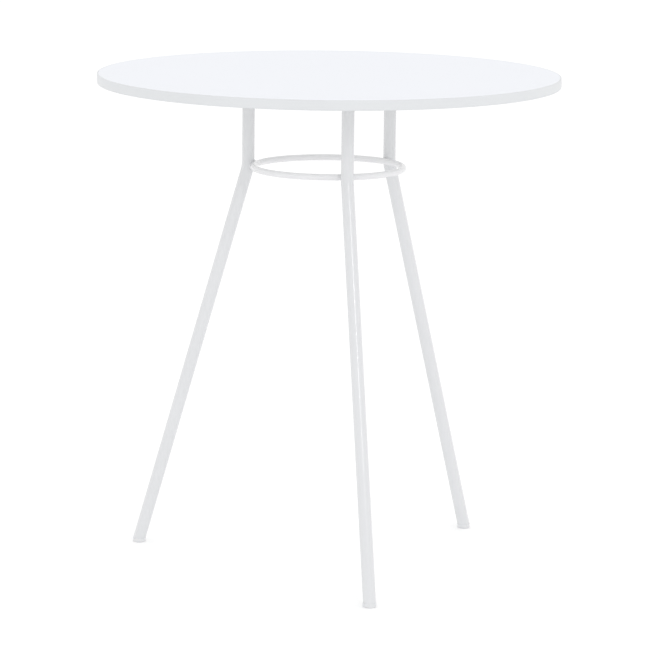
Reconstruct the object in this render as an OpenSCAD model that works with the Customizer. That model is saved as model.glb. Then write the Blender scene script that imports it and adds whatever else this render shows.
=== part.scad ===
// Round kitchen table: a thin round top on a welded frame of three bent tubes,
// braced by a rod ring that lies inside the bends.
// Millimetres, +Z up. The origin is on the floor, under the middle of the top.
// One leg points to the front (-Y), one to the right rear and one to the left rear.

/* [Top] */
// Diameter of the finished top, over its edge band
top_d = 700; // [560:10:900]
// Height of the top surface above the floor
table_h = 750; // [700:5:780]
// Thickness of the finished top, laminates included
top_t = 15; // [14:1:28]
// Thickness of the laminate on each side of the core
laminate_t = 0.8; // [0.5:0.1:1.2]
// Thickness of the edge band
band_t = 2; // [1:0.5:3]
// Radius of the band's two outer edges
band_round = 1.5; // [0.5:0.1:2.5]

/* [Legs] */
// Outer diameter of the leg tube
tube_d = 19; // [14:1:25]
// Wall of the leg tube
tube_wall = 1.5; // [1:0.1:2.5]
// Distance from the table's axis to the middle of each upright run
leg_r = 128; // [100:0.5:180]
// Height of the corner where a leg's two straight runs would meet
bend_h = 604; // [480:1:640]
// Radius of the bend at the middle of the tube
bend_r = 45; // [30:1:80]
// Angle of the lower run, from upright
leg_splay = 16.4; // [8:0.1:20]
// Step that the bending die leaves round each end of the bent stretch
die_mark = 0.1; // [0.05:0.01:0.3]
// Length that the die's step runs past each end of the bend
die_run = 1; // [0.5:0.1:3]

/* [Ring] */
// Diameter of the ring's rod
rod_d = 9.5; // [5:0.5:12]
// Height of the rod's middle above the corner of the bends
ring_rise = 4; // [0:0.5:40]
// Gap between rod and tube that the weld fills
root_gap = 0.3; // [0.1:0.1:0.8]
// Radius of the bead that welds the rod to a tube
bead_r = 5.6; // [3:0.1:8]

/* [Mounting plates] */
// Diameter of the plate on the upper end of each leg
plate_d = 80; // [76:1:110]
// Thickness of the plate
plate_t = 4; // [3:0.5:6]
// Chamfer round the plate's lower edge
plate_chamfer = 0.8; // [0.2:0.1:1.5]
// Side of the fillet weld round the tube, under the plate
fillet_side = 4; // [2:0.5:6]
// Diameter of the circle that a plate's screws stand on
screw_circle_d = 58; // [50:1:62]
// Number of screws in a plate
screws_per_plate = 3; // [2:1:4]

/* [Fasteners] */
// Thread diameter of the screws
screw_d = 6; // [4:1:6]
// Length of a screw under its head
screw_length = 16; // [12:1:18]
// Diameter of the screw's button head
head_d = 10.5; // [9:0.5:12]
// Height of the screw's button head
head_h = 3.3; // [2.6:0.1:4]
// Size across the flats of the socket
socket_af = 4; // [3:0.5:5]
// Depth of the socket
socket_depth = 2; // [1:0.1:2.4]
// Diameter of the washers
washer_d = 12; // [11:0.5:14]
// Thickness of the washers
washer_t = 1.6; // [1:0.1:2]
// Length of the barbed inserts in the core
insert_length = 11; // [8:0.5:12]
// Wall of an insert, from the screw to the tips of its barbs
insert_wall = 1.6; // [1.2:0.1:2.5]
// Depth of an insert's barbs
barb_depth = 0.4; // [0.2:0.1:0.8]
// Number of barbs on an insert
insert_barbs = 5; // [3:1:8]

/* [Glides] */
// Height of the sole under a leg
sole_h = 6; // [4:0.5:12]
// How far the round sole stands out past the tube's own radius
sole_lip = 0.5; // [0.5:0.1:2]
// Radius of the sole's lower edge
sole_round = 1; // [0.5:0.1:2.5]
// Length of the barbed plug inside the tube
plug_length = 22; // [14:1:40]
// Depth of the plug's barbs
plug_barb_depth = 0.7; // [0.3:0.1:1.2]
// Number of barbs on the plug
plug_barbs = 5; // [3:1:8]

/* [Clearances] */
// Radial gap between the plug's barbs and the tube's bore
plug_gap = 0.1; // [0.05:0.05:0.3]
// Radial gap between the screws and the holes in plates and washers
screw_gap = 0.3; // [0.2:0.05:0.5]
// Radial gap between a screw and its insert, in place of the thread's flanks
thread_gap = 0.05; // [0.02:0.01:0.1]
// Radial gap between an insert's barbs and its hole in the top
insert_gap = 0.05; // [0.02:0.01:0.2]
// Depth of the insert's hole past the insert or the screw, whichever is longer
drill_spare = 0.5; // [0.2:0.1:1]

/* [Hidden] */

// Above twelve sides a circle stands for a true one
$fn = 96;

// Length that a cutting shape runs past the face it cuts
past = 1;

// Angles of the three legs round the table's axis, as seen from above
front_leg_angle = -90;
right_leg_angle = 30;
left_leg_angle = 150;

powder_coat = "#E6E9EC";
laminate_white = "#F4F6FA";
band_white = "#ECEEF1";
backing_white = "#EDEEEF";
fibreboard = "#B3916A";
zinc_plate = "#B8BCC2";
brass = "#C8A45C";
nylon_white = "#E4E6E8";

top_r = top_d / 2;
core_r = top_r - band_t;
top_bottom = table_h - top_t;
core_bottom = top_bottom + laminate_t;
core_t = top_t - 2 * laminate_t;

tube_r = tube_d / 2;
bore_r = tube_r - tube_wall;
plate_bottom = top_bottom - plate_t;
// Length of straight centreline that the bend takes from each run at the corner
bend_setback = bend_r * tan(leg_splay / 2);
// Distance from the table's axis to the middle of a tube where its level cut meets the sole
foot_r = leg_r + (bend_h - sole_h) * tan(leg_splay);
sole_r = tube_r + sole_lip;

rod_r = rod_d / 2;
ring_h = bend_h + ring_rise;
ring_r = leg_r - tube_r - root_gap - rod_r;

screw_r = screw_d / 2;
head_r = head_d / 2;
screw_seat = plate_bottom - washer_t;
screw_reach = screw_length - washer_t - plate_t;
insert_r = screw_r + insert_wall;
insert_hole_r = insert_r + insert_gap;
insert_hole_depth = max(insert_length, screw_reach) + drill_spare;

// Turns what is drawn towards +X to the leg at the given angle
module at_leg(angle) {
    rotate([0, 0, angle]) children();
}

// Puts what is drawn on the Z axis at every screw of every plate
module at_screws() {
    for (angle = [front_leg_angle, right_leg_angle, left_leg_angle])
        at_leg(angle) at_plate_screws() children();
}

module at_plate_screws() {
    translate([leg_r, 0, 0])
        for (i = [0 : screws_per_plate - 1])
            rotate([0, 0, i * 360 / screws_per_plate])
                translate([screw_circle_d / 2, 0, 0]) children();
}

// Half section of a disc whose outer edges are rounded below, and above too if both is true
module rounded_disc_section(r, h, round, both) {
    upper = both ? round : 0;
    translate([0, round]) square([r, h - round - upper]);
    square([r - round, h]);
    for (y = both ? [round, h - round] : [round])
        translate([r - round, y]) circle(round);
}

// Solid of revolution with saw-toothed barbs that hold against being pulled out upwards
module barbed_rod(r, depth, length, barbs) {
    pitch = length / barbs;
    rotate_extrude()
        polygon([
            [0, 0],
            for (i = [0 : barbs - 1]) each [[r, i * pitch], [r - depth, (i + 1) * pitch]],
            [0, length],
        ]);
}

// Round bar of radius r that follows a leg, drawn from the corner where its runs would meet:
// upright, round the bend, then splayed to the floor. Both ends run on by the length extra.
module leg_bar(r, extra) {
    translate([leg_r, 0, bend_h]) {
        translate([0, 0, bend_setback])
            cylinder(r = r, h = plate_bottom - bend_h - bend_setback + extra);
        bend(r + die_mark);
        rotate([0, 180 - leg_splay, 0])
            translate([0, 0, bend_setback])
                cylinder(r = r, h = bend_h / cos(leg_splay) - bend_setback + extra);
    }
}

// Bent stretch of radius r, which runs a little way over both straight runs
module bend(r) {
    run_on = atan(die_run / bend_r);
    translate([bend_r, 0, bend_setback])
        rotate([90, 0, 0]) rotate([0, 0, 180 - run_on])
            rotate_extrude(angle = leg_splay + 2 * run_on) translate([bend_r, 0]) circle(r);
}

// Everything lower than the height given, round one foot
module below(height) {
    side = 4 * tube_d;
    translate([foot_r - side / 2, -side / 2, height - side]) cube(side);
}

module top_core() {
    color(fibreboard)
        difference() {
            translate([0, 0, core_bottom]) cylinder(r = core_r, h = core_t);
            insert_holes();
        }
}

module insert_holes() {
    at_screws()
        translate([0, 0, top_bottom - past]) cylinder(r = insert_hole_r, h = insert_hole_depth + past);
}

module top_laminate() {
    color(laminate_white)
        translate([0, 0, core_bottom + core_t]) cylinder(r = core_r, h = laminate_t);
}

module backing_laminate() {
    color(backing_white)
        difference() {
            translate([0, 0, top_bottom]) cylinder(r = core_r, h = laminate_t);
            insert_holes();
        }
}

module edge_band() {
    color(band_white)
        translate([0, 0, top_bottom])
            rotate_extrude()
                difference() {
                    rounded_disc_section(top_r, top_t, band_round, both = true);
                    translate([0, -past]) square([core_r, top_t + 2 * past]);
                }
}

module threaded_inserts() {
    color(brass)
        at_screws()
            translate([0, 0, top_bottom])
                difference() {
                    translate([0, 0, insert_length]) mirror([0, 0, 1])
                        barbed_rod(insert_r, barb_depth, insert_length, insert_barbs);
                    translate([0, 0, -past])
                        cylinder(r = screw_r + thread_gap, h = insert_length + 2 * past);
                }
}

module mounting_plate(angle) {
    plate_r = plate_d / 2;
    color(powder_coat)
        difference() {
            at_leg(angle)
                translate([leg_r, 0, plate_bottom]) {
                    cylinder(r1 = plate_r - plate_chamfer, r2 = plate_r, h = plate_chamfer);
                    translate([0, 0, plate_chamfer]) cylinder(r = plate_r, h = plate_t - plate_chamfer);
                }
            at_leg(angle)
                at_plate_screws()
                    translate([0, 0, plate_bottom - past])
                        cylinder(r = screw_r + screw_gap, h = plate_t + 2 * past);
        }
}

// Fillet weld that runs round the tube under its plate
module plate_weld(angle) {
    color(powder_coat)
        at_leg(angle)
            translate([leg_r, 0, plate_bottom])
                rotate_extrude()
                    polygon([[tube_r, 0], [tube_r, -fillet_side], [tube_r + fillet_side, 0]]);
}

module leg(angle) {
    color(powder_coat)
        at_leg(angle)
            difference() {
                leg_bar(tube_r, 0);
                leg_bar(bore_r, past);
                below(sole_h);
            }
}

module stretcher_ring() {
    color(powder_coat) ring_rod();
}

module ring_rod() {
    translate([0, 0, ring_h])
        rotate_extrude($fn = 720) translate([ring_r, 0]) circle(rod_r, $fn = 96);
}

// Bead that fills the gap and the crevices between the ring and the inner side of a leg
module ring_weld(angle) {
    $fn = 192;
    color(powder_coat)
        at_leg(angle)
            difference() {
                translate([leg_r - tube_r - root_gap / 2, 0, ring_h]) sphere(bead_r);
                leg_bar(tube_r, past);
                ring_rod();
            }
}

// Plug that is driven into the tube, on a level sole that rests on the floor
module glide(angle) {
    color(nylon_white)
        at_leg(angle) {
            translate([foot_r, 0, 0])
                rotate_extrude() rounded_disc_section(sole_r, sole_h, sole_round, both = false);
            translate([foot_r, 0, sole_h])
                rotate([0, -leg_splay, 0])
                    translate([0, 0, -sole_h / 2])
                        barbed_rod(bore_r - plug_gap, plug_barb_depth, plug_length, plug_barbs);
        }
}

module plate_screws() {
    color(zinc_plate)
        at_screws()
            translate([0, 0, screw_seat]) screw();
}

// Button-head screw with its seat at the origin and its thread upwards
module screw() {
    dome_r = (head_r * head_r + head_h * head_h) / (2 * head_h);
    point = screw_d / 10;
    difference() {
        mirror([0, 0, 1])
            rotate_extrude()
                intersection() {
                    translate([0, head_h - dome_r]) circle(dome_r);
                    square([head_r, head_h]);
                }
        translate([0, 0, -head_h - past])
            cylinder(d = socket_af / cos(30), h = socket_depth + past, $fn = 6);
    }
    cylinder(r = screw_r, h = screw_length - point);
    translate([0, 0, screw_length - point]) cylinder(r1 = screw_r, r2 = screw_r - point, h = point);
}

module screw_washers() {
    color(zinc_plate)
        at_screws()
            translate([0, 0, screw_seat])
                difference() {
                    cylinder(d = washer_d, h = washer_t);
                    translate([0, 0, -past]) cylinder(r = screw_r + screw_gap, h = washer_t + 2 * past);
                }
}

top_core();
top_laminate();
backing_laminate();
edge_band();
threaded_inserts();
mounting_plate(front_leg_angle);  // mounting_plate_front
mounting_plate(right_leg_angle);  // mounting_plate_right
mounting_plate(left_leg_angle);  // mounting_plate_left
plate_weld(front_leg_angle);  // plate_weld_front
plate_weld(right_leg_angle);  // plate_weld_right
plate_weld(left_leg_angle);  // plate_weld_left
leg(front_leg_angle);  // leg_front
leg(right_leg_angle);  // leg_right
leg(left_leg_angle);  // leg_left
stretcher_ring();
ring_weld(front_leg_angle);  // ring_weld_front
ring_weld(right_leg_angle);  // ring_weld_right
ring_weld(left_leg_angle);  // ring_weld_left
glide(front_leg_angle);  // glide_front
glide(right_leg_angle);  // glide_right
glide(left_leg_angle);  // glide_left
plate_screws();
screw_washers();
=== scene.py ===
"""Round kitchen table: a laminated top with a banded edge, on a powder-coated frame of bent steel tube."""
import math

import bmesh
import bpy
from mathutils import Matrix, Vector


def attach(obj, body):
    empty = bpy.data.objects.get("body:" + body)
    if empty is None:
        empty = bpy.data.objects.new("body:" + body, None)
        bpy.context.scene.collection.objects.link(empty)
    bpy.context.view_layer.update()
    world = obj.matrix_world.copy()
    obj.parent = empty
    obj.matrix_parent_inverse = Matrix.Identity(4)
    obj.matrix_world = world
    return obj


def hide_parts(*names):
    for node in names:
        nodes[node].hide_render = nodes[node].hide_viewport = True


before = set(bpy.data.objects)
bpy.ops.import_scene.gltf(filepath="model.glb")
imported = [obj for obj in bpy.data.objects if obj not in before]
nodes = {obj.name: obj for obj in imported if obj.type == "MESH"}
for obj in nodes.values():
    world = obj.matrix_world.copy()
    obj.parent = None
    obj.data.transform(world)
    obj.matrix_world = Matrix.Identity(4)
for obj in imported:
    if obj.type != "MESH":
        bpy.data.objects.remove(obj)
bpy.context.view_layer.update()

MM = 0.001
TURN = 2 * math.pi
# Points nearer to each other than this, in metres, become one
SAME_POINT = 1e-7

# The photograph's viewpoint: place in metres, heading from +X in degrees, tilt down and roll
CAMERA_PLACE = (-1.1666, -5.1349, 1.3173)
CAMERA_HEADING = 77.142
CAMERA_TILT = 10.3349
CAMERA_ROLL = 0.6451
CAMERA_NEAR = 0.1
CAMERA_FAR = 200
SENSOR_MM = 36
FOCAL_PX = 3501.8
IMAGE_PX = 660

# Studio, in metres and watts
FLOOR_RADIUS = 40
FLOOR_STEPS = 128
FLOOR_COLOUR = "#F8F8F8"
# White that shows on the floor but lights nothing, so that the floor looks pure white beside the shadows
FLOOR_LIFT = 0.12
# The room's light comes more from its walls than from its ceiling
CEILING_STRENGTH = 0.93
WALL_RISE = 0.36
# A far, narrow lamp, which draws the thin line of light down the front leg
STRIP_PLACE = (0.9, -8.15, 3.75)
STRIP_AIM = (0, 0, 0.5)
STRIP_WIDTH = 0.2
STRIP_HEIGHT = 1.4
STRIP_POWER = 44

# Sizes of the table in millimetres, as the solids have them
TABLE_H = 750
TOP_R = 350
TOP_T = 15
LAMINATE_T = 0.8
BAND_T = 2
BAND_ROUND = 1.5
TUBE_R = 9.5
LEG_R = 128
RING_H = 608
ROOT_GAP = 0.3
PLATE_T = 4
FILLET_SIDE = 4
SCREW_CIRCLE_R = 29
SCREWS_PER_PLATE = 3
SCREW_R = 3
SCREW_LENGTH = 16
HEAD_R = 5.25
SOCKET_AF = 4
SOCKET_DEPTH = 2
WASHER_R = 6
WASHER_T = 1.6
SCREW_HOLE_R = 3.3
# Directions of the legs, in degrees from +X
LEG_ANGLES = {"front": -90, "right": 30, "left": 150}

TOP_BOTTOM = TABLE_H - TOP_T
PLATE_BOTTOM = TOP_BOTTOM - PLATE_T
SCREW_SEAT = PLATE_BOTTOM - WASHER_T

# Steps that the round outline of the top is drawn in
TOP_STEPS = 480

# Sockets of a Mix node that mixes colours
MIX_FACTOR, MIX_A, MIX_B, MIX_RESULT = 0, 6, 7, 2

# Most of a noise pattern's values lie between these two
NOISE_LOW, NOISE_HIGH = 0.3, 0.7

# A wave pattern of scale 1 draws this many lines in a length of 2 pi
WAVE_LINES = 20


def linear(colour):
    """Turns an sRGB hex colour to linear red, green, blue and alpha."""
    parts = [int(colour[i:i + 2], 16) / 255 for i in (1, 3, 5)]
    return tuple(c / 12.92 if c <= 0.04045 else ((c + 0.055) / 1.055) ** 2.4 for c in parts) + (1.0,)


def grain_scale(size):
    """Scale of a noise or cell pattern whose grains are this many millimetres across."""
    return 1 / (size * MM)


def line_scale(spacing):
    """Scale of a wave pattern whose lines are this many millimetres apart."""
    return TURN / (WAVE_LINES * spacing * MM)


def add(tree, kind, inputs=None, **settings):
    """Adds a node with its settings. Each input takes a value, or the socket that feeds it."""
    made = tree.nodes.new(kind)
    for name, value in settings.items():
        setattr(made, name, value)
    for name, value in (inputs or {}).items():
        if isinstance(value, bpy.types.NodeSocket):
            tree.links.new(value, made.inputs[name])
        else:
            made.inputs[name].default_value = value
    return made


def new_material(name):
    """An empty node material, and its tree."""
    made = bpy.data.materials.new(name)
    made.use_nodes = True
    made.node_tree.nodes.clear()
    return made, made.node_tree


# Camera and studio

def make_camera():
    heading, tilt, roll = (math.radians(angle) for angle in (CAMERA_HEADING, CAMERA_TILT, CAMERA_ROLL))
    data = bpy.data.cameras.new("camera")
    data.sensor_width = SENSOR_MM
    data.lens = FOCAL_PX * SENSOR_MM / IMAGE_PX
    data.clip_start, data.clip_end = CAMERA_NEAR, CAMERA_FAR
    camera = bpy.data.objects.new("camera", data)
    camera.matrix_world = (
        Matrix.Translation(CAMERA_PLACE)
        @ Matrix.Rotation(heading - math.pi / 2, 4, "Z")
        @ Matrix.Rotation(math.pi / 2 - tilt, 4, "X")
        @ Matrix.Rotation(roll, 4, "Z")
    )
    bpy.context.scene.collection.objects.link(camera)
    bpy.context.scene.camera = camera


def seen_directly(tree):
    """A socket that is 1 for what the camera, a gloss or a clear body looks at, and 0 for falling light."""
    path = add(tree, "ShaderNodeLightPath").outputs
    gloss = add(tree, "ShaderNodeMath", {0: path["Is Camera Ray"], 1: path["Is Glossy Ray"]},
                operation="MAXIMUM")
    clear = add(tree, "ShaderNodeMath", {0: gloss.outputs[0], 1: path["Is Transmission Ray"]},
                operation="MAXIMUM")
    return clear.outputs[0]


def make_room():
    """A world that looks pure white, and whose light grows from the ceiling down the walls."""
    world = bpy.data.worlds.new("white_room")
    bpy.context.scene.world = world
    world.use_nodes = True
    tree = world.node_tree
    tree.nodes.clear()
    direct = seen_directly(tree)
    around = add(tree, "ShaderNodeTexCoord").outputs["Generated"]
    direction = add(tree, "ShaderNodeSeparateXYZ", {"Vector": around})
    below_ceiling = add(tree, "ShaderNodeMath", {0: 1.0, 1: direction.outputs["Z"]}, operation="SUBTRACT")
    falling = add(tree, "ShaderNodeMath", {0: below_ceiling.outputs[0], 1: 2.0}, operation="POWER")
    strength = add(tree, "ShaderNodeMath", {0: falling.outputs[0], 1: WALL_RISE, 2: CEILING_STRENGTH},
                   operation="MULTIPLY_ADD")
    sky = add(tree, "ShaderNodeBackground", {"Color": (1, 1, 1, 1), "Strength": strength.outputs[0]})
    white = add(tree, "ShaderNodeBackground", {"Color": (1, 1, 1, 1), "Strength": 1.0})
    mixed = add(tree, "ShaderNodeMixShader", {0: direct, 1: sky.outputs[0], 2: white.outputs[0]})
    add(tree, "ShaderNodeOutputWorld", {"Surface": mixed.outputs[0]})


def make_floor():
    """A matt white floor, which keeps the table's shadow."""
    material, tree = new_material("matt_white_floor")
    matt = add(tree, "ShaderNodeBsdfDiffuse", {"Color": linear(FLOOR_COLOUR)})
    lift = add(tree, "ShaderNodeEmission", {"Color": (1, 1, 1, 1), "Strength": FLOOR_LIFT})
    bright = add(tree, "ShaderNodeAddShader", {0: matt.outputs[0], 1: lift.outputs[0]})
    shader = add(tree, "ShaderNodeMixShader", {
        0: seen_directly(tree), 1: matt.outputs[0], 2: bright.outputs[0]})
    add(tree, "ShaderNodeOutputMaterial", {"Surface": shader.outputs[0]})
    shape = bmesh.new()
    bmesh.ops.create_circle(shape, cap_ends=True, segments=FLOOR_STEPS, radius=FLOOR_RADIUS)
    piece_from(shape, "studio_floor", material)


def make_lamp():
    data = bpy.data.lights.new("strip_lamp", "AREA")
    data.shape = "RECTANGLE"
    data.size, data.size_y = STRIP_WIDTH, STRIP_HEIGHT
    data.energy = STRIP_POWER
    lamp = bpy.data.objects.new("strip_lamp", data)
    lamp.location = STRIP_PLACE
    lamp.rotation_euler = (Vector(STRIP_PLACE) - Vector(STRIP_AIM)).to_track_quat("Z", "Y").to_euler()
    bpy.context.scene.collection.objects.link(lamp)


# Shapes, with their own small sizes in millimetres

def piece_from(shape, name, material):
    """Makes an object of a bmesh, at the origin."""
    mesh = bpy.data.meshes.new(name)
    shape.to_mesh(mesh)
    shape.free()
    mesh.materials.append(material)
    made = bpy.data.objects.new(name, mesh)
    bpy.context.scene.collection.objects.link(made)
    return made


def finish_piece(shape, name, material, replaced, sharp_from):
    """Smooths a shape but for its edges over an angle, and sets it in the place of its solid."""
    bmesh.ops.recalc_face_normals(shape, faces=shape.faces)
    for face in shape.faces:
        face.smooth = True
    for edge in shape.edges:
        edge.smooth = edge.calc_face_angle(0) < math.radians(sharp_from)
    made = piece_from(shape, name, material)
    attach(made, "root")
    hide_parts(replaced)


def chain(shape, points, closed=False):
    """Joins points of a half section, each a radius and a height in millimetres, by edges."""
    verts = [shape.verts.new((r * MM, 0, z * MM)) for r, z in points]
    ends = verts[1:] + verts[:1] if closed else verts[1:]
    return [shape.edges.new(pair) for pair in zip(verts, ends)]


def turn_round(shape, section, steps):
    """Spins a half section a full turn round Z."""
    verts = list({vert for edge in section for vert in edge.verts})
    bmesh.ops.spin(shape, geom=verts + section, axis=(0, 0, 1), cent=(0, 0, 0), angle=TURN, steps=steps,
                   use_merge=True)
    bmesh.ops.remove_doubles(shape, verts=shape.verts, dist=SAME_POINT)


def rounded(middle_r, middle_z, radius, start, steps=5):
    """Points of a quarter round of a half section. It starts at an angle in degrees and runs on by 90."""
    for i in range(steps + 1):
        angle = math.radians(start + 90 * i / steps)
        yield middle_r + radius * math.cos(angle), middle_z + radius * math.sin(angle)


def only(kind, geometry):
    return [item for item in geometry if isinstance(item, kind)]


def place_at_leg(shape, side, radius, height):
    """Moves what is made round Z to a leg, turned so that its +X points away from the table's axis."""
    bmesh.ops.transform(shape, verts=shape.verts, matrix=(
        Matrix.Rotation(math.radians(LEG_ANGLES[side]), 4, "Z")
        @ Matrix.Translation((radius * MM, 0, height * MM))))


def make_edging(material):
    """One strip of edging, glued round the core, with its two ends butted at the back."""
    joint = 0.12
    # The flat outer face keeps a row of points this close to each rounding, so that it shades flat
    support = 0.4
    rounding_r = TOP_R - BAND_ROUND
    points = [
        (TOP_R - BAND_T, TOP_BOTTOM),
        *rounded(rounding_r, TOP_BOTTOM + BAND_ROUND, BAND_ROUND, -90),
        (TOP_R, TOP_BOTTOM + BAND_ROUND + support),
        (TOP_R, TABLE_H - BAND_ROUND - support),
        *rounded(rounding_r, TABLE_H - BAND_ROUND, BAND_ROUND, 0),
        (TOP_R - BAND_T, TABLE_H),
    ]
    shape = bmesh.new()
    end = shape.faces.new([shape.verts.new((0, r * MM, z * MM)) for r, z in points])
    gap = joint / TOP_R
    bmesh.ops.rotate(shape, verts=shape.verts, cent=(0, 0, 0), matrix=Matrix.Rotation(gap / 2, 3, "Z"))
    bmesh.ops.spin(shape, geom=[*end.verts, *end.edges, end], axis=(0, 0, 1), cent=(0, 0, 0),
                   angle=TURN - gap, steps=TOP_STEPS)
    finish_piece(shape, "edging_strip", material, "edge_band", sharp_from=30)


def make_laminate(material):
    """The face sheet, whose edge is broken a trace where the trimmer has run."""
    joint = 0.08
    broken = 0.18
    shape = bmesh.new()
    bmesh.ops.create_circle(shape, cap_ends=True, segments=TOP_STEPS, radius=(TOP_R - BAND_T - joint) * MM)
    bmesh.ops.translate(shape, verts=shape.verts, vec=(0, 0, (TABLE_H - LAMINATE_T) * MM))
    raised = bmesh.ops.extrude_face_region(shape, geom=list(shape.faces), use_keep_orig=True)["geom"]
    bmesh.ops.translate(shape, verts=only(bmesh.types.BMVert, raised), vec=(0, 0, LAMINATE_T * MM))
    bmesh.ops.bevel(shape, geom=only(bmesh.types.BMEdge, raised), offset=broken * MM, segments=2,
                    profile=0.5, affect="EDGES", material=-1)
    finish_piece(shape, "laminate_sheet", material, "top_laminate", sharp_from=10)


def make_fillet(side, material):
    """Fillet weld round a tube, under its plate, with the ripples that each stop of the torch leaves."""
    ripples = 34
    steps_per_ripple = 8
    ripple = 0.15
    crescent = 3.5
    sag = 0.25
    rows = 10
    outside = []
    for i in range(rows + 1):
        across = i / rows
        inwards = sag * math.sin(math.pi * across)
        outside.append((TUBE_R + FILLET_SIDE * across - inwards, inwards - FILLET_SIDE * (1 - across)))
    shape = bmesh.new()
    turn_round(shape, chain(shape, [(TUBE_R, 0), *outside], closed=True), ripples * steps_per_ripple)
    for vert in shape.verts:
        radius = math.hypot(vert.co.x, vert.co.y)
        across = (radius / MM - TUBE_R) / FILLET_SIDE
        if across > 0 and vert.co.z < 0:
            turned = ripples * math.atan2(vert.co.y, vert.co.x) / 2 + crescent * (across - 0.5) ** 2
            outwards = Vector((vert.co.x / radius, vert.co.y / radius, -1)).normalized()
            vert.co += outwards * ripple * MM * math.sin(math.pi * across) * abs(math.sin(turned))
    place_at_leg(shape, side, LEG_R, PLATE_BOTTOM)
    finish_piece(shape, f"plate_fillet_{side}", material, f"plate_weld_{side}", sharp_from=50)


def make_bead(side, material):
    """Weld run round the spot where the ring's rod touches a tube, in overlapping puddles."""
    puddles = 15
    steps_per_puddle = 8
    run_r = 3.1
    bead_r = 2.1
    bead_sides = 20
    ripple = 0.2
    shape = bmesh.new()
    bmesh.ops.create_circle(shape, segments=bead_sides, radius=bead_r * MM, matrix=(
        Matrix.Translation((run_r * MM, 0, 0)) @ Matrix.Rotation(math.pi / 2, 4, "X")))
    turn_round(shape, list(shape.edges), puddles * steps_per_puddle)
    for vert in shape.verts:
        angle = math.atan2(vert.co.y, vert.co.x)
        spine = Vector((math.cos(angle), math.sin(angle), 0)) * run_r * MM
        vert.co = spine + (vert.co - spine) * (1 + ripple / bead_r * abs(math.sin(puddles * angle / 2)))
    bmesh.ops.rotate(shape, verts=shape.verts, cent=(0, 0, 0), matrix=Matrix.Rotation(math.pi / 2, 3, "Y"))
    place_at_leg(shape, side, LEG_R - TUBE_R - ROOT_GAP / 2, RING_H)
    finish_piece(shape, f"ring_bead_{side}", material, f"ring_weld_{side}", sharp_from=60)


def repeat_at_screws(shape):
    """Copies what is made on the Z axis to every screw of every plate, and leaves none behind."""
    original = [*shape.verts, *shape.edges, *shape.faces]
    for angle in LEG_ANGLES.values():
        for i in range(SCREWS_PER_PLATE):
            copied = bmesh.ops.duplicate(shape, geom=original)["geom"]
            bmesh.ops.transform(shape, verts=only(bmesh.types.BMVert, copied), matrix=(
                Matrix.Rotation(math.radians(angle), 4, "Z") @ Matrix.Translation((LEG_R * MM, 0, 0))
                @ Matrix.Rotation(i * TURN / SCREWS_PER_PLATE, 4, "Z")
                @ Matrix.Translation((SCREW_CIRCLE_R * MM, 0, 0))))
    bmesh.ops.delete(shape, geom=only(bmesh.types.BMVert, original), context="VERTS")


def make_thread(shape):
    """Rolled M6 thread from the seat up. One turn's profile is wound past both ends, then cut to length."""
    pitch = 1
    root_r = 2.4
    point_r = 2.3
    # Shares of the pitch at which the flanks leave the root, meet the crest, leave it and meet the root
    flanks = (0.12, 0.44, 0.56, 0.88)
    run_in = 1.5
    per_turn = 24
    spare_turns = 3
    # Neighbouring turns meet to within this, in metres
    turn_joint = 1e-6
    turns = SCREW_LENGTH // pitch + spare_turns
    tip = SCREW_SEAT + SCREW_LENGTH
    start = SCREW_SEAT - run_in * pitch
    radii = (root_r, SCREW_R, SCREW_R, root_r)
    profile = chain(shape, [(root_r, start), *((r, start + share * pitch) for r, share in zip(radii, flanks)),
                            (root_r, start + pitch)])
    bmesh.ops.spin(shape, geom=[*shape.verts, *profile], axis=(0, 0, 1), cent=(0, 0, 0),
                   dvec=(0, 0, pitch * MM / per_turn), angle=TURN * turns, steps=per_turn * turns)
    bmesh.ops.remove_doubles(shape, verts=shape.verts, dist=turn_joint)
    for height, kept in ((SCREW_SEAT, 1), (tip, -1)):
        bmesh.ops.bisect_plane(shape, geom=[*shape.verts, *shape.edges, *shape.faces], dist=SAME_POINT,
                               plane_co=(0, 0, height * MM), plane_no=(0, 0, kept), clear_inner=True)
    # The point is a cone
    for vert in shape.verts:
        radius, allowed = math.hypot(vert.co.x, vert.co.y), (point_r + tip) * MM - vert.co.z
        if radius > allowed:
            vert.co.x *= allowed / radius
            vert.co.y *= allowed / radius
    bmesh.ops.holes_fill(shape, edges=[edge for edge in shape.edges if edge.is_boundary], sides=0)


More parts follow.
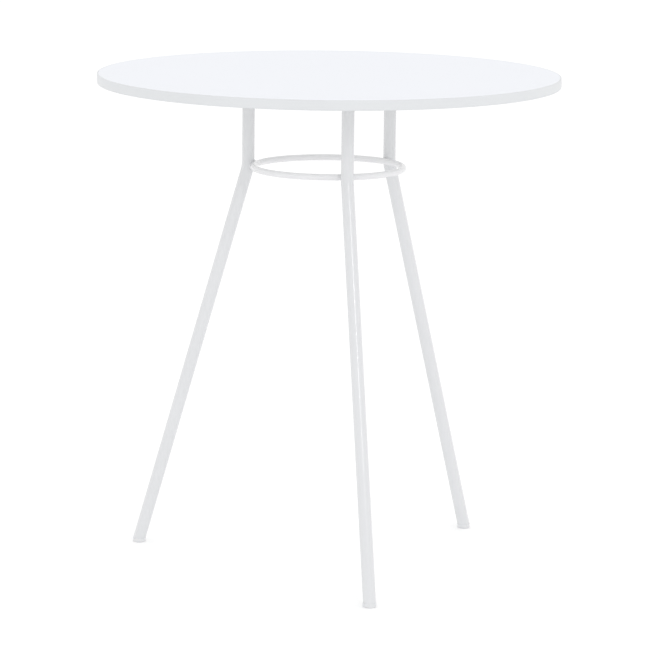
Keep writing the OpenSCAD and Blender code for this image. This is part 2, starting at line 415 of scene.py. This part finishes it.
def make_head(shape):
    """Button head: its seat, rounded rim, dome and the flat round a hexagon socket with a drilled floor."""
    rim = 0.35
    dome_r = 5.8
    dome_rise = 2.13
    crown_r = 2.9
    mouth_r = 2.5
    lead_in = 0.15
    drill_point = 0.5
    facets = 48
    rows = 12
    dome = []
    for i in range(1, rows + 1):
        radius = HEAD_R - (HEAD_R - crown_r) * i / rows
        dome.append((radius, SCREW_SEAT + dome_rise - math.sqrt(dome_r ** 2 - radius ** 2)))
    crown = dome[-1][1]
    section = chain(shape, [
        (0, SCREW_SEAT), (HEAD_R - rim, SCREW_SEAT), (HEAD_R, SCREW_SEAT - rim), *dome, (mouth_r, crown)])
    turn_round(shape, section, facets)
    mouth = [edge for edge in shape.edges if edge.is_boundary]
    corner_r = SOCKET_AF / 2 / math.cos(math.pi / 6)
    bmesh.ops.create_circle(shape, segments=6, radius=corner_r * MM,
                            matrix=Matrix.Translation((0, 0, (crown + lead_in) * MM)))
    bmesh.ops.subdivide_edges(shape, edges=[edge for edge in shape.edges if edge.is_wire],
                              cuts=facets // 6 - 1)
    socket = [edge for edge in shape.edges if edge.is_wire]
    bmesh.ops.bridge_loops(shape, edges=mouth + socket)
    walls = bmesh.ops.extrude_edge_only(shape, edges=socket)["geom"]
    bmesh.ops.translate(shape, verts=only(bmesh.types.BMVert, walls),
                        vec=(0, 0, (SOCKET_DEPTH - lead_in) * MM))
    rim_of_floor = [edge for edge in shape.edges if edge.is_boundary]
    floor = bmesh.ops.contextual_create(shape, geom=rim_of_floor)["faces"]
    drilled = bmesh.ops.poke(shape, faces=floor)["verts"]
    bmesh.ops.translate(shape, verts=drilled, vec=(0, 0, drill_point * MM))


def make_screws(material):
    """Button-head screws. Head and thread are made apart, then joined in one mesh."""
    shape = bmesh.new()
    make_head(shape)
    head = bpy.data.meshes.new("screw_head")
    shape.to_mesh(head)
    shape.clear()
    make_thread(shape)
    shape.from_mesh(head)
    bpy.data.meshes.remove(head)
    repeat_at_screws(shape)
    finish_piece(shape, "button_screws", material, "plate_screws", sharp_from=28)


def make_washers(material):
    """Stamped washers, rolled over on the die's side and sharp on the other."""
    roll = 0.35
    roll_steps = 3
    facets = 64
    shape = bmesh.new()
    section = chain(shape, [
        *rounded(WASHER_R - roll, SCREW_SEAT + roll, roll, -90, roll_steps),
        (WASHER_R, PLATE_BOTTOM), (SCREW_HOLE_R, PLATE_BOTTOM),
        *rounded(SCREW_HOLE_R + roll, SCREW_SEAT + roll, roll, 180, roll_steps)], closed=True)
    turn_round(shape, section, facets)
    repeat_at_screws(shape)
    finish_piece(shape, "stamped_washers", material, "screw_washers", sharp_from=35)


# Materials

def powder_coat(name, thin, full):
    # White polyester powder coat, sprayed on the welded frame and cured. The film flows out to a glossy skin
    # with the low waves of orange peel, and is a trace thinner and greyer on some stretches than on others
    material, tree = new_material(name)
    place = add(tree, "ShaderNodeTexCoord").outputs["Object"]
    film = add(tree, "ShaderNodeTexNoise", {"Vector": place, "Scale": grain_scale(70), "Detail": 3.0})
    # Orange peel is about 2 mm from crest to crest, drawn at 3 mm so that it shows
    peel = add(tree, "ShaderNodeTexNoise", {"Vector": place, "Scale": grain_scale(3), "Detail": 1.0})
    # Pigment and flow grains, 0.5 mm
    grains = add(tree, "ShaderNodeTexNoise", {"Vector": place, "Scale": grain_scale(0.5), "Detail": 1.0})
    # Dust nibs under the film, one in about 25 mm and 0.6 mm across
    nibs = add(tree, "ShaderNodeTexVoronoi", {"Vector": place, "Scale": grain_scale(25)}, feature="F1")
    nib = add(tree, "ShaderNodeMapRange", {
        "Value": nibs.outputs["Distance"], "From Min": 0.0, "From Max": 0.3 / 25,
        "To Min": 1.0, "To Max": 0.0}, interpolation_type="SMOOTHSTEP")
    waves = add(tree, "ShaderNodeBump", {"Height": peel.outputs["Fac"], "Distance": 0.02 * MM})
    skin = add(tree, "ShaderNodeBump", {
        "Height": grains.outputs["Fac"], "Distance": 0.0015 * MM, "Normal": waves.outputs[0]})
    bumps = add(tree, "ShaderNodeBump", {
        "Height": nib.outputs[0], "Distance": 0.05 * MM, "Normal": skin.outputs[0]})
    colour = add(tree, "ShaderNodeMix", {
        MIX_FACTOR: film.outputs["Fac"], MIX_A: linear(thin), MIX_B: linear(full)}, data_type="RGBA")
    gloss = add(tree, "ShaderNodeMapRange", {
        "Value": film.outputs["Fac"], "From Min": NOISE_LOW, "From Max": NOISE_HIGH,
        "To Min": 0.09, "To Max": 0.14})
    shader = add(tree, "ShaderNodeBsdfPrincipled", {
        "Base Color": colour.outputs[MIX_RESULT], "Roughness": gloss.outputs[0], "IOR": 1.55,
        "Normal": bumps.outputs[0]})
    add(tree, "ShaderNodeOutputMaterial", {"Surface": shader.outputs[0]})
    return material


def face_laminate():
    # High-pressure laminate, pressed against a pearl-grained plate. Dull and even, with pebbles that break
    # up its sheen, and a few rubbed places where it is a little smoother
    material, tree = new_material("white_pressed_laminate")
    place = add(tree, "ShaderNodeTexCoord").outputs["Object"]
    # The plate's pebbles are 0.8 mm across, drawn at 1.2 mm so that they show
    pebbles = add(tree, "ShaderNodeTexVoronoi", {
        "Vector": place, "Scale": grain_scale(1.2), "Smoothness": 0.7}, feature="SMOOTH_F1")
    clouds = add(tree, "ShaderNodeTexNoise", {"Vector": place, "Scale": grain_scale(110), "Detail": 4.0})
    specks = add(tree, "ShaderNodeTexNoise", {"Vector": place, "Scale": grain_scale(0.6), "Detail": 2.0})
    relief = add(tree, "ShaderNodeBump", {"Height": pebbles.outputs["Distance"], "Distance": 0.03 * MM})
    fine = add(tree, "ShaderNodeBump", {
        "Height": specks.outputs["Fac"], "Distance": 0.004 * MM, "Normal": relief.outputs[0]})
    paper = add(tree, "ShaderNodeMix", {
        MIX_FACTOR: clouds.outputs["Fac"], MIX_A: linear("#EFF1F6"), MIX_B: linear("#F2F4F9")},
        data_type="RGBA")
    flecked = add(tree, "ShaderNodeMix", {
        MIX_FACTOR: specks.outputs["Fac"], MIX_A: paper.outputs[MIX_RESULT], MIX_B: linear("#F3F5FA")},
        data_type="RGBA")
    sheen = add(tree, "ShaderNodeMapRange", {
        "Value": clouds.outputs["Fac"], "From Min": NOISE_LOW, "From Max": NOISE_HIGH,
        "To Min": 0.50, "To Max": 0.60})
    shader = add(tree, "ShaderNodeBsdfPrincipled", {
        "Base Color": flecked.outputs[MIX_RESULT], "Roughness": sheen.outputs[0], "IOR": 1.5,
        "Normal": fine.outputs[0]})
    add(tree, "ShaderNodeOutputMaterial", {"Surface": shader.outputs[0]})
    return material


def edging():
    # Extruded ABS edging. Fine lines from the die run along it, and the cutter that rounds its two edges
    # leaves faint marks across them, 1.5 mm apart
    material, tree = new_material("white_extruded_edging")
    place = add(tree, "ShaderNodeTexCoord").outputs["Object"]
    split = add(tree, "ShaderNodeSeparateXYZ", {"Vector": place})
    angle = add(tree, "ShaderNodeMath", {0: split.outputs["Y"], 1: split.outputs["X"]}, operation="ARCTAN2")
    along = add(tree, "ShaderNodeMath", {0: angle.outputs[0], 1: TOP_R * MM}, operation="MULTIPLY")
    unrolled = add(tree, "ShaderNodeCombineXYZ", {"X": along.outputs[0], "Z": split.outputs["Z"]})
    # The die's lines are 0.5 mm wide and 60 times as long
    drawn = add(tree, "ShaderNodeMapping", {"Vector": unrolled.outputs[0], "Scale": (1 / 60, 1, 1)})
    lines = add(tree, "ShaderNodeTexNoise", {
        "Vector": drawn.outputs[0], "Scale": grain_scale(0.5), "Detail": 2.0})
    cutter = add(tree, "ShaderNodeTexWave", {
        "Vector": unrolled.outputs[0], "Scale": line_scale(1.5), "Distortion": 1.5, "Detail": 1.0},
        bands_direction="X")
    middle = add(tree, "ShaderNodeMath", {0: split.outputs["Z"], 1: (TABLE_H - TOP_T / 2) * MM},
                 operation="SUBTRACT")
    off_middle = add(tree, "ShaderNodeMath", {0: middle.outputs[0]}, operation="ABSOLUTE")
    rounds = add(tree, "ShaderNodeMapRange", {
        "Value": off_middle.outputs[0],
        "From Min": (TOP_T / 2 - BAND_ROUND) * MM, "From Max": TOP_T / 2 * MM})
    marks = add(tree, "ShaderNodeMath", {0: cutter.outputs["Fac"], 1: rounds.outputs[0]},
                operation="MULTIPLY")
    cloud = add(tree, "ShaderNodeTexNoise", {
        "Vector": unrolled.outputs[0], "Scale": grain_scale(90), "Detail": 3.0})
    grooves = add(tree, "ShaderNodeBump", {"Height": lines.outputs["Fac"], "Distance": 0.006 * MM})
    cuts = add(tree, "ShaderNodeBump", {
        "Height": marks.outputs[0], "Distance": 0.01 * MM, "Normal": grooves.outputs[0]})
    colour = add(tree, "ShaderNodeMix", {
        MIX_FACTOR: cloud.outputs["Fac"], MIX_A: linear("#DBDDDF"), MIX_B: linear("#E0E2E4")},
        data_type="RGBA")
    sheen = add(tree, "ShaderNodeMapRange", {
        "Value": lines.outputs["Fac"], "From Min": NOISE_LOW, "From Max": NOISE_HIGH,
        "To Min": 0.32, "To Max": 0.42})
    shader = add(tree, "ShaderNodeBsdfPrincipled", {
        "Base Color": colour.outputs[MIX_RESULT], "Roughness": sheen.outputs[0], "IOR": 1.52,
        "Normal": cuts.outputs[0]})
    add(tree, "ShaderNodeOutputMaterial", {"Surface": shader.outputs[0]})
    return material


def backing():
    # Balancing sheet of resin-soaked paper, pressed matt. Fibres of the paper show as faint flecks, and the
    # sander has left long straight marks
    material, tree = new_material("matt_balancing_paper")
    place = add(tree, "ShaderNodeTexCoord").outputs["Object"]
    fibres = add(tree, "ShaderNodeTexNoise", {
        "Vector": place, "Scale": grain_scale(2.5), "Detail": 5.0, "Roughness": 0.7})
    # The sander's marks are 0.8 mm wide and 80 times as long
    stretched = add(tree, "ShaderNodeMapping", {"Vector": place, "Scale": (1 / 80, 1, 1)})
    sanded = add(tree, "ShaderNodeTexNoise", {
        "Vector": stretched.outputs[0], "Scale": grain_scale(0.8), "Detail": 2.0})
    relief = add(tree, "ShaderNodeBump", {"Height": sanded.outputs["Fac"], "Distance": 0.012 * MM})
    colour = add(tree, "ShaderNodeMix", {
        MIX_FACTOR: fibres.outputs["Fac"], MIX_A: linear("#E6E6E4"), MIX_B: linear("#F2F3F2")},
        data_type="RGBA")
    dull = add(tree, "ShaderNodeMapRange", {"Value": sanded.outputs["Fac"], "To Min": 0.5, "To Max": 0.68})
    shader = add(tree, "ShaderNodeBsdfPrincipled", {
        "Base Color": colour.outputs[MIX_RESULT], "Roughness": dull.outputs[0], "IOR": 1.5,
        "Normal": relief.outputs[0]})
    add(tree, "ShaderNodeOutputMaterial", {"Surface": shader.outputs[0]})
    return material


def fibreboard():
    # Medium-density fibreboard, pressed from ground wood. Dense and even, with short darker fibres in its
    # felt, and no sheen where it is sawn or drilled
    material, tree = new_material("pressed_fibreboard")
    place = add(tree, "ShaderNodeTexCoord").outputs["Object"]
    # The ground wood settles flat, in a felt a third as thick as it is wide
    layers = add(tree, "ShaderNodeMapping", {"Vector": place, "Scale": (1, 1, 3)})
    felt = add(tree, "ShaderNodeTexNoise", {
        "Vector": layers.outputs[0], "Scale": grain_scale(0.9), "Detail": 5.0, "Roughness": 0.65})
    fibres = add(tree, "ShaderNodeTexNoise", {
        "Vector": layers.outputs[0], "Scale": grain_scale(4), "Detail": 2.0, "Distortion": 2.0})
    wood = add(tree, "ShaderNodeMix", {
        MIX_FACTOR: felt.outputs["Fac"], MIX_A: linear("#9C7850"), MIX_B: linear("#C4A37A")},
        data_type="RGBA")
    dark = add(tree, "ShaderNodeMapRange", {
        "Value": fibres.outputs["Fac"], "From Min": 0.62, "From Max": 0.7, "To Max": 0.45})
    flecked = add(tree, "ShaderNodeMix", {
        MIX_FACTOR: dark.outputs[0], MIX_A: wood.outputs[MIX_RESULT], MIX_B: linear("#7E5B38")},
        data_type="RGBA")
    rough = add(tree, "ShaderNodeBump", {"Height": felt.outputs["Fac"], "Distance": 0.15 * MM})
    shader = add(tree, "ShaderNodeBsdfPrincipled", {
        "Base Color": flecked.outputs[MIX_RESULT], "Roughness": 0.85, "IOR": 1.5,
        "Normal": rough.outputs[0]})
    add(tree, "ShaderNodeOutputMaterial", {"Surface": shader.outputs[0]})
    return material


def nylon():
    # Moulded nylon. Milky, so that light goes a little way in, with the fine spark-eroded grain of the mould
    # and faint scuffs near the floor
    material, tree = new_material("white_moulded_nylon")
    place = add(tree, "ShaderNodeTexCoord").outputs["Object"]
    flow = add(tree, "ShaderNodeTexNoise", {
        "Vector": place, "Scale": grain_scale(9), "Detail": 2.0, "Distortion": 1.0})
    # The mould's grain is 0.15 mm, drawn at 0.5 mm so that it shows
    grain = add(tree, "ShaderNodeTexNoise", {"Vector": place, "Scale": grain_scale(0.5), "Detail": 2.0})
    height = add(tree, "ShaderNodeSeparateXYZ", {"Vector": place})
    near_floor = add(tree, "ShaderNodeMapRange", {
        "Value": height.outputs["Z"], "From Max": 1.5 * MM, "To Min": 1.0, "To Max": 0.0})
    scuffs = add(tree, "ShaderNodeMath", {0: near_floor.outputs[0], 1: grain.outputs["Fac"]},
                 operation="MULTIPLY")
    milky = add(tree, "ShaderNodeMix", {
        MIX_FACTOR: flow.outputs["Fac"], MIX_A: linear("#DFE0E2"), MIX_B: linear("#E4E5E7")},
        data_type="RGBA")
    scuffed = add(tree, "ShaderNodeMix", {
        MIX_FACTOR: scuffs.outputs[0], MIX_A: milky.outputs[MIX_RESULT], MIX_B: linear("#DCDDDE")},
        data_type="RGBA")
    dull = add(tree, "ShaderNodeMapRange", {"Value": scuffs.outputs[0], "To Min": 0.38, "To Max": 0.6})
    relief = add(tree, "ShaderNodeBump", {"Height": grain.outputs["Fac"], "Distance": 0.01 * MM})
    shader = add(tree, "ShaderNodeBsdfPrincipled", {
        "Base Color": scuffed.outputs[MIX_RESULT], "Roughness": dull.outputs[0], "IOR": 1.53,
        "Subsurface Weight": 0.15, "Subsurface Scale": 1 * MM, "Subsurface Radius": (1.0, 0.9, 0.8),
        "Normal": relief.outputs[0]})
    add(tree, "ShaderNodeOutputMaterial", {"Surface": shader.outputs[0]})
    return material


def zinc():
    # Bright zinc plate on cold-headed steel, tumbled in the bath. Cool and silvery, with soft dents and
    # a patchy bluish film from the passivating dip
    material, tree = new_material("bright_zinc_plate")
    place = add(tree, "ShaderNodeTexCoord").outputs["Object"]
    dents = add(tree, "ShaderNodeTexNoise", {"Vector": place, "Scale": grain_scale(0.7), "Detail": 3.0})
    film = add(tree, "ShaderNodeTexNoise", {"Vector": place, "Scale": grain_scale(4), "Detail": 2.0})
    colour = add(tree, "ShaderNodeMix", {
        MIX_FACTOR: film.outputs["Fac"], MIX_A: linear("#C6CBD4"), MIX_B: linear("#D3D4D2")},
        data_type="RGBA")
    worn = add(tree, "ShaderNodeMapRange", {
        "Value": dents.outputs["Fac"], "From Min": NOISE_LOW, "From Max": NOISE_HIGH,
        "To Min": 0.22, "To Max": 0.38})
    relief = add(tree, "ShaderNodeBump", {"Height": dents.outputs["Fac"], "Distance": 0.012 * MM})
    shader = add(tree, "ShaderNodeBsdfPrincipled", {
        "Base Color": colour.outputs[MIX_RESULT], "Roughness": worn.outputs[0], "Metallic": 1.0,
        "Normal": relief.outputs[0]})
    add(tree, "ShaderNodeOutputMaterial", {"Surface": shader.outputs[0]})
    return material


def brass():
    # Turned brass. The tool's feed leaves fine rings, 0.2 mm apart and drawn at 0.4 mm so that they show,
    # and handling dulls it
    material, tree = new_material("turned_brass")
    place = add(tree, "ShaderNodeTexCoord").outputs["Object"]
    rings = add(tree, "ShaderNodeTexWave", {
        "Vector": place, "Scale": line_scale(0.4), "Distortion": 0.4}, bands_direction="Z")
    tarnish = add(tree, "ShaderNodeTexNoise", {"Vector": place, "Scale": grain_scale(3), "Detail": 3.0})
    colour = add(tree, "ShaderNodeMix", {
        MIX_FACTOR: tarnish.outputs["Fac"], MIX_A: linear("#B98F44"), MIX_B: linear("#DDB869")},
        data_type="RGBA")
    worn = add(tree, "ShaderNodeMapRange", {
        "Value": tarnish.outputs["Fac"], "From Min": NOISE_LOW, "From Max": NOISE_HIGH,
        "To Min": 0.24, "To Max": 0.4})
    relief = add(tree, "ShaderNodeBump", {"Height": rings.outputs["Fac"], "Distance": 0.006 * MM})
    shader = add(tree, "ShaderNodeBsdfPrincipled", {
        "Base Color": colour.outputs[MIX_RESULT], "Roughness": worn.outputs[0], "Metallic": 1.0,
        "Normal": relief.outputs[0]})
    add(tree, "ShaderNodeOutputMaterial", {"Surface": shader.outputs[0]})
    return material


def dress(material, *names):
    """Gives the solids that stay in view their material."""
    for name in names:
        for slot in nodes[name].material_slots:
            slot.material = material


bpy.context.scene.view_settings.view_transform = "Standard"
make_camera()
make_room()
make_floor()
make_lamp()

tube_coat = powder_coat("white_powder_coat_on_tube", "#DDDEE0", "#E1E2E4")
# A lighter copy of the same coat for the rod, painted a trace whiter than the tube's. This painted lift
# brightens away the shade that the table top casts on the thin rod
rod_coat_lightened_against_shade = powder_coat("white_powder_coat_on_rod_painted_lighter", "#E7E7E9", "#EBEBED")
zinc_plate = zinc()

dress(tube_coat, *(f"{part}_{side}" for part in ("leg", "mounting_plate") for side in LEG_ANGLES))
# The ring gets the coat whose colour is painted lighter to cancel the shade under the top
dress(rod_coat_lightened_against_shade, "stretcher_ring")
dress(backing(), "backing_laminate")
dress(fibreboard(), "top_core")
dress(nylon(), *(f"glide_{side}" for side in LEG_ANGLES))
dress(brass(), "threaded_inserts")
make_edging(edging())
make_laminate(face_laminate())
for side in LEG_ANGLES:
    make_fillet(side, tube_coat)
    make_bead(side, tube_coat)
make_screws(zinc_plate)
make_washers(zinc_plate)
